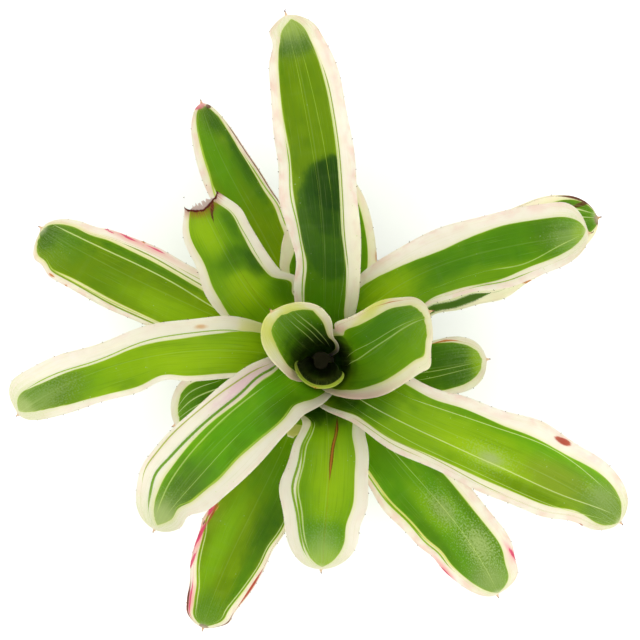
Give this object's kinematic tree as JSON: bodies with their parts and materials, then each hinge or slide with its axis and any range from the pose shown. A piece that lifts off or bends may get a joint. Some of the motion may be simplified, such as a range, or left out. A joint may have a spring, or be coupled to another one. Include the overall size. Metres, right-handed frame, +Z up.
{
  "type": "neoregelia bromeliad",
  "caption": "Rosette of arching green strap leaves with cream margins, clasping a short woody stem round a water-holding cup, lifted out of its pot with its roots trimmed.",
  "frame": {"origin": "centre of the stem's flat cut face, which stands on the surface", "axes": "+Z up along the stem out of the cup; +Y towards the longest leaf, to within a few degrees"},
  "size_m": [0.3283, 0.3339, 0.1399],
  "materials": {
    "leaf": "smooth waxy leaf, green with cream margins, semi-gloss",
    "stem": "rough dry bark with leaf scars, matt"
  },
  "bodies": {
    "root": {"stem": "stem", "leaf_01": "leaf", "leaf_02": "leaf", "leaf_03": "leaf", "leaf_04": "leaf", "leaf_05": "leaf", "leaf_06": "leaf", "leaf_07": "leaf", "leaf_08": "leaf", "leaf_09": "leaf", "leaf_10": "leaf", "leaf_11": "leaf", "leaf_12": "leaf", "leaf_13": "leaf", "leaf_14": "leaf", "leaf_15": "leaf", "leaf_16": "leaf", "leaf_17": "leaf", "leaf_18": "leaf", "leaf_19": "leaf"}
  },
  "joints": []
}
